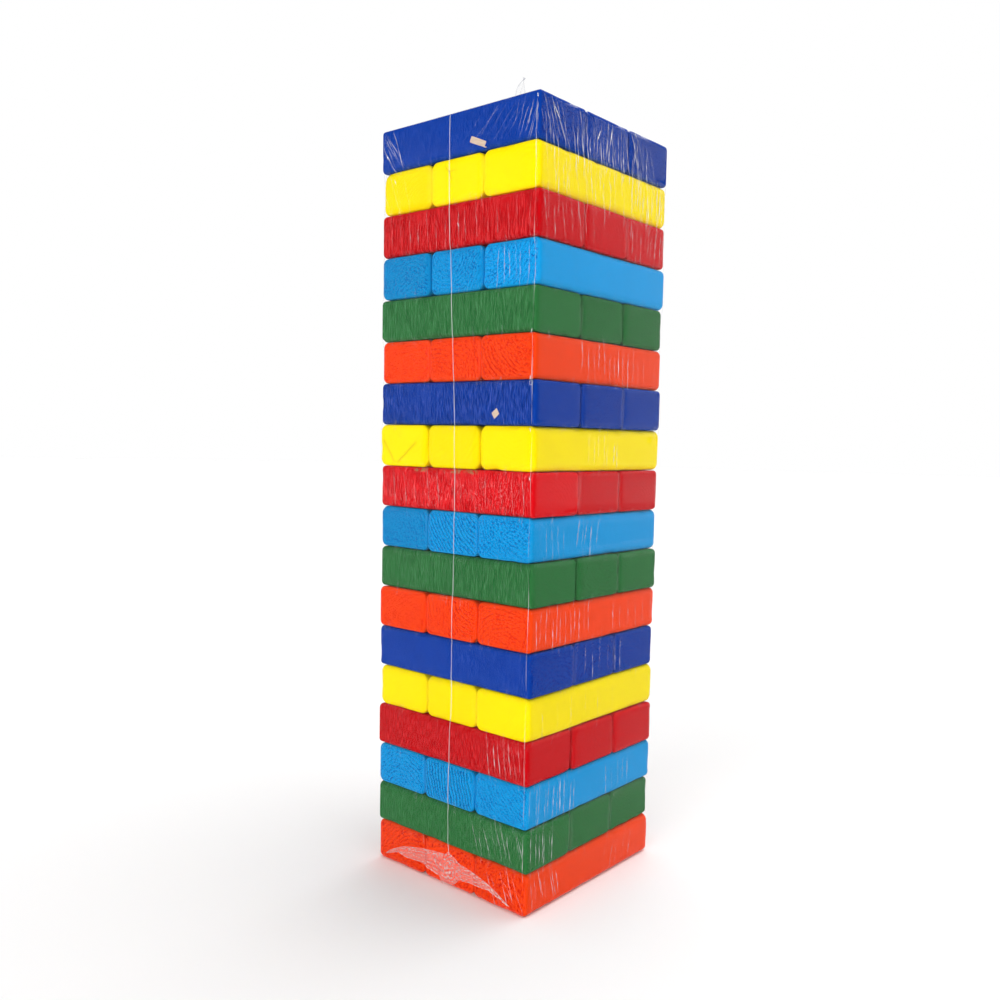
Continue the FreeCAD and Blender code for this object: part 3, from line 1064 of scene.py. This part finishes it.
class TOWER_OT_seam(bpy.types.Operator):
    """Makes the welded seam up the front, one length for each level"""

    bl_idname = "tower.seam"
    bl_label = "Seam"

    def execute(self, context):
        film = context.scene.tower.film
        material = folded_film_and_painted_light("seam")
        for level in range(1, LEVELS + 1):
            foot = FAN_NECK if level == 1 else (level - 1) * LEVEL_PITCH - JOINT_DROP
            top = CREASE_TOP if level == LEVELS else level * LEVEL_PITCH - JOINT_DROP
            height = np.linspace(foot, top, 24)[:, None]
            across = np.linspace(-1, 1, 7)[None, :]
            width = (0.17 + 0.03 * np.sin(height / (5.3 * MM))) * MM
            place = seam_place(height) + across * width
            out = (0.08 + 0.12 * (1 - across**2) + 0.02 * np.sin(height / (1.9 * MM) + across)) * MM
            points = front_sheet(place, height, out, film)
            crease = np.broadcast_to(0.25 + 0.75 * np.exp(-((across / 0.5) ** 2)), place.shape)
            rows = {"crease": crease.ravel()}
            faces = grid_faces(*place.shape)
            name = f"seam_level_{level:02d}"
            piece = film_piece(name, seam_owner(level), points, faces, [material], rows)
            if level == 1:
                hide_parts("film_seam")
        return {"FINISHED"}


# The gathered fan's upper and lower outlines, in millimetres along the front and up, from tip to
# tip. The lower one dips to the floor at the stub under the rosette.
FAN_NECK = 11.8 * MM
FAN_UPPER = (
    (-33.0, 2.6), (-30.0, 4.9), (-23.0, 8.1), (-15.0, 9.9), (-8.0, 10.9), (-0.5, 11.6), (0.6, 12.8),
    (2.6, 12.2), (6.5, 10.0), (15.0, 8.7), (20.0, 7.4), (26.0, 4.8), (30.5, 2.4),
)
FAN_LOWER = (
    (-33.0, 2.4), (-26.0, 4.9), (-22.0, 4.2), (-13.5, 4.8), (-10.0, 3.5), (-4.0, 2.6), (-2.8, 0.9),
    (-1.8, 0.3), (1.2, 0.3), (4.4, 2.1), (6.6, 4.0), (13.6, 4.6), (21.0, 4.9), (26.0, 3.5), (30.5, 2.2),
)
ROSETTE = np.array([2.0, 5.4]) * MM
FAN_HEM = 0.35 * MM
FAN_GRID = 0.18 * MM


def fan_surface(low, high, film):
    """The part of the gathered fan between two places along the front.

    A sheet between the outlines. Pleats run along it as sine waves across it that bend with soft
    hills, and a net of finer folds is where those hills cross zero. About the rosette the sheet
    winds in rings that stand out in a bell. crease is greatest on the folds' crests.
    """
    rng = np.random.default_rng(41)
    columns = int((high - low) / FAN_GRID)
    upper, lower = np.array(FAN_UPPER) * MM, np.array(FAN_LOWER) * MM
    place = np.linspace(low, high, columns)[:, None]
    share = np.linspace(0, 1, 64)[None, :]
    top = np.interp(place, *upper.T)
    foot = np.interp(place, *lower.T)
    height = foot + (top - foot) * share
    place = np.broadcast_to(place, height.shape)
    flat = as_points(place, 0, height)
    slow = swell(flat, rng, 9 * MM).reshape(height.shape)
    fine = swell(flat, rng, 2.6 * MM).reshape(height.shape)
    finer = swell(flat, rng, 1.3 * MM).reshape(height.shape)
    pleats = np.sin(2 * math.pi * (share * 5.2 + 0.55 * slow) + place / (6 * MM))
    net = np.exp(-((fine / 0.12) ** 2)) + 0.7 * np.exp(-((finer / 0.14) ** 2))
    ridges = np.clip(pleats, 0, 1) ** 3 * (0.55 + 0.45 * finer)
    offset = flat[:, [0, 2]] - ROSETTE
    radius = np.hypot(*offset.T).reshape(height.shape)
    turn = np.arctan2(offset[:, 1], offset[:, 0]).reshape(height.shape)
    bell = np.exp(-((radius / (3.6 * MM)) ** 4))
    rings = 0.5 + 0.5 * np.sin(2 * math.pi * radius / (1.5 * MM) - turn + 1.6 * fine)
    folds = (1 - bell) * np.maximum(ridges, net * 0.55) + bell * rings**2 * (0.7 + 0.3 * finer)
    from_foot, from_top = share * (top - foot), (1 - share) * (top - foot)
    hem = np.exp(-((from_foot / FAN_HEM) ** 2)) + np.exp(-((from_top / FAN_HEM) ** 2))
    crease = np.clip(0.08 + 0.75 * folds + 0.15 * hem, 0, 1)
    out = (0.14 + 0.30 * folds + bell * (0.5 + 0.7 * rings)) * MM
    points = front_sheet(place, height, out, film)
    return points, grid_faces(*height.shape), crease.ravel()


def glued_sheet(corners, steps=9):
    """A four-cornered sheet with soft corners from its corners along the front and up: straight
    between them, with the rows drawn in by a circle's arc at the ends."""
    corners = np.array(corners) * MM
    one = np.linspace(0, 1, steps)[:, None, None]
    other = np.linspace(0, 1, steps)[None, :, None]
    other = 0.5 + (other - 0.5) * (1 - 0.25 * np.abs(2 * one - 1) ** 8)
    near = corners[0] + (corners[1] - corners[0]) * one
    far = corners[3] + (corners[2] - corners[3]) * one
    flat = near + (far - near) * other
    return flat[..., 0], flat[..., 1]


# The torn ear, by where it stands along the front and how large it is.
EAR_PLACE = 28.4 * MM
EAR_HALF_WIDTH = 2.3 * MM
EAR_HEIGHT = 5.4 * MM
EAR_LEAN = 1.6 * MM


def ear_surface():
    """The torn ear, a thin upright sheet that stands on the tower's front edge.

    Its half width falls with about the square root of what is left above, and it leans sideways
    with the square of the height. It bows in and out by a sine across it that turns as it rises.
    """
    up = np.linspace(0, 1, 16)[:, None]
    across = np.linspace(-1, 1, 9)[None, :]
    half = EAR_HALF_WIDTH * (1 - up) ** 0.6 + 0.05 * MM
    place = EAR_PLACE + across * half + EAR_LEAN * up**2
    height = TOWER_TOP - 0.8 * MM + EAR_HEIGHT * up
    depth = -(HALF_TOWER - 0.4 * MM) + 0.7 * MM * up * np.sin(2.4 * across + 3 * up)
    fold = np.exp(-(((across - 0.2 * up) / 0.12) ** 2))
    crease = 0.9 * np.abs(across) ** 6 + 0.6 * fold + 0.5 * (up > 0.9)
    return as_points(place, depth, height), grid_faces(*place.shape), crease.ravel()


class TOWER_OT_gathers(bpy.types.Operator):
    """Makes the gathered fan at the seam's foot and the torn ear at the top"""

    bl_idname = "tower.gathers"
    bl_label = "Gathers"

    def execute(self, context):
        film = context.scene.tower.film
        material = folded_film_and_painted_light("fan")
        cut = SIDE_PITCH / 2
        start, stop = (FAN_UPPER[end][0] * MM for end in (0, -1))
        spans = (("left", start, -cut), ("middle", -cut, cut), ("right", cut, stop))
        for word, low, high in spans:
            points, faces, crease = fan_surface(low, high, film)
            owner = f"level_01_orange_{word}"
            film_piece(f"fan_{word}", owner, points, faces, [material], {"crease": crease})

        points, faces, crease = ear_surface()
        film_piece("ear", "level_18_blue_front", points, faces, [folded_film_and_painted_light("ear")], {"crease": crease})
        return {"FINISHED"}


# Loose flakes of wood under the film: the block that each lies on, and its corners along and up in
# millimetres.
FLAKES = (
    ("oblong", "level_18_blue_front", (6.9, 264.1), (15.0, 260.6), (13.9, 258.5), (5.7, 261.8)),
    ("diamond", "level_12_blue_front", (20.9, 173.3), (22.5, 170.8), (19.7, 168.6), (18.0, 171.1)),
)


class TOWER_OT_flakes(bpy.types.Operator):
    """Makes the flakes of wood that lie between the film and the front"""

    bl_idname = "tower.flakes"
    bl_label = "Flakes"

    def execute(self, context):
        film = context.scene.tower.film
        material = flake_material()
        for word, name, *corners in FLAKES:
            place, height = glued_sheet(corners)
            out = np.full(place.shape, -0.35 * MM)
            out[1:-1, 1:-1] = -0.01 * MM
            points = front_sheet(place, height, out, film)
            film_piece(f"flake_{word}", name, points, grid_faces(*place.shape), [material])
        return {"FINISHED"}


class TOWER_OT_stage(bpy.types.Operator):
    """Sets the floor, the lights, the world and the camera"""

    bl_idname = "tower.stage"
    bl_label = "Stage"

    def execute(self, context):
        scene = context.scene
        scene.view_settings.view_transform = "Standard"
        make_floor()
        make_world(scene)
        for row in SUNS:
            make_sun(*row)
        for row in LIGHTS:
            make_light(*row)
        make_camera(scene)
        return {"FINISHED"}


# Soft boxes, as (name, place, (width, height), watts), all turned to the tower's middle. They show
# only in the film's gloss.
LIGHTS = (
    ("Left gloss panel", (-1.5, -1.1, 0.3), (1.0, 1.0), 3.0),
    ("Back right gloss panel", (0.95, 1.55, 0.35), (1.3, 1.3), 7.0),
)
# Wide suns, as (name, heading, degrees from straight above, degrees wide, strength). A heading of 0
# is over the front, and it turns towards the right.
SUNS = (
    ("Overhead sun", 160.0, 24.0, 80.0, 2.35),
    ("Front sun", 8.0, 70.0, 50.0, 1.5),
)
# The radii of the floor's rings, its height, and how bright the room is.
FLOOR_RINGS = (0.0001, 0.3, 0.8, 2.0, 6.0)
FLOOR_HEIGHT = -0.05 * MM
ROOM_LIGHT = 0.36


def make_floor():
    """A wide white disc at the tower's foot, of points on rings about the middle."""
    rings = np.array(FLOOR_RINGS)[:, None]
    turn = np.linspace(0, 2 * math.pi, 97)[None, :]
    across, along = rings * np.cos(turn), rings * np.sin(turn)
    nodes = Nodes("White floor")
    material = nodes.finish(nodes.paint((0.90, 0.90, 0.90, 1.0), 0.8))
    points = as_points(across, along, FLOOR_HEIGHT)
    make_object("Floor", points, grid_faces(*across.shape), [material])


def make_world(scene):
    """A soft grey room for the light, shown white to the eye."""
    nodes = Nodes("Studio", "worlds")
    room, sweep = (
        nodes.add("ShaderNodeBackground", inputs={"Color": WHITE, "Strength": strength})
        for strength in (ROOM_LIGHT, 1.0)
    )
    seen = nodes.add("ShaderNodeLightPath", output="Is Camera Ray")
    scene.world = nodes.finish(nodes.mix(seen, room, sweep), "ShaderNodeOutputWorld")


def rotation(axis, degrees):
    """A turn about an axis."""
    return Matrix.Rotation(math.radians(degrees), 4, axis)


def make_sun(name, heading, tilt, wide, strength):
    """A sun that leans by a tilt from straight above towards a heading."""
    light = bpy.data.lights.new(name, "SUN")
    light.energy = strength
    light.angle = math.radians(wide)
    sun = place_in_scene(name, light)
    sun.matrix_world = rotation("Z", heading) @ rotation("X", tilt)


def make_light(name, place, size, power):
    """A soft box of a width and height, turned to the tower's middle."""
    light = bpy.data.lights.new(name, "AREA")
    light.shape = "RECTANGLE"
    light.size, light.size_y = size
    light.energy = power
    lamp = place_in_scene(name, light)
    lamp.visible_diffuse = False
    back = np.array(place) - np.array([0, 0, TOWER_TOP / 2])
    back /= np.linalg.norm(back)
    side = np.cross([0, 0, 1], back)
    side /= np.linalg.norm(side)
    turn = Matrix(np.stack([side, np.cross(back, side), back], axis=1).tolist())
    lamp.matrix_world = Matrix.Translation(place) @ turn.to_4x4()


# The camera's place, and how far it turns from looking along +Y, tilts down and rolls, in degrees.
CAMERA_PLACE = (0.23742, -0.27522, 0.16185)
CAMERA_HEADING, CAMERA_TILT, CAMERA_ROLL = 39.15, 4.87, 1.24


def make_camera(scene):
    """The camera, low over a corner of the tower."""
    camera = bpy.data.cameras.new("Camera")
    camera.lens = 34.27
    camera.sensor_width = 36.0
    camera.shift_x = -0.0475
    camera.shift_y = 0.0229
    camera.clip_start = 0.01
    camera.clip_end = 30.0
    eye = place_in_scene("Camera", camera)
    turn = rotation("Z", CAMERA_HEADING) @ rotation("X", 90 - CAMERA_TILT) @ rotation("Z", CAMERA_ROLL)
    eye.matrix_world = Matrix.Translation(CAMERA_PLACE) @ turn
    scene.camera = eye


# ---- Add-on ----


class TOWER_PT_pieces(bpy.types.Panel):
    """The tower's pieces and settings"""

    bl_label = "Tumbling tower"
    bl_idname = "TOWER_PT_pieces"
    bl_space_type = "VIEW_3D"
    bl_region_type = "UI"
    bl_category = "Tower"

    def draw(self, context):
        layout = self.layout
        settings = context.scene.tower
        for group in (settings.paints, settings.wood, settings.film):
            box = layout.box()
            for key in group.bl_rna.properties.keys():
                if key not in ("rna_type", "name"):
                    box.prop(group, key)
        for operator in OPERATORS:
            layout.operator(operator.bl_idname)


OPERATORS = (
    TOWER_OT_stage,
    TOWER_OT_blocks,
    TOWER_OT_film,
    TOWER_OT_seam,
    TOWER_OT_gathers,
    TOWER_OT_flakes,
)
CLASSES = (TowerPaints, TowerWood, TowerFilm, TowerSettings, *OPERATORS, TOWER_PT_pieces)


def register():
    """Registers the classes and puts the settings on the scene."""
    for item in CLASSES:
        bpy.utils.register_class(item)
    bpy.types.Scene.tower = bpy.props.PointerProperty(type=TowerSettings)


def unregister():
    """Takes the settings and the classes away again."""
    del bpy.types.Scene.tower
    for item in reversed(CLASSES):
        bpy.utils.unregister_class(item)


def main():
    register()
    for operator in OPERATORS:
        group, name = operator.bl_idname.split(".")
        getattr(getattr(bpy.ops, group), name)()


if __name__ == "__main__":
    main()
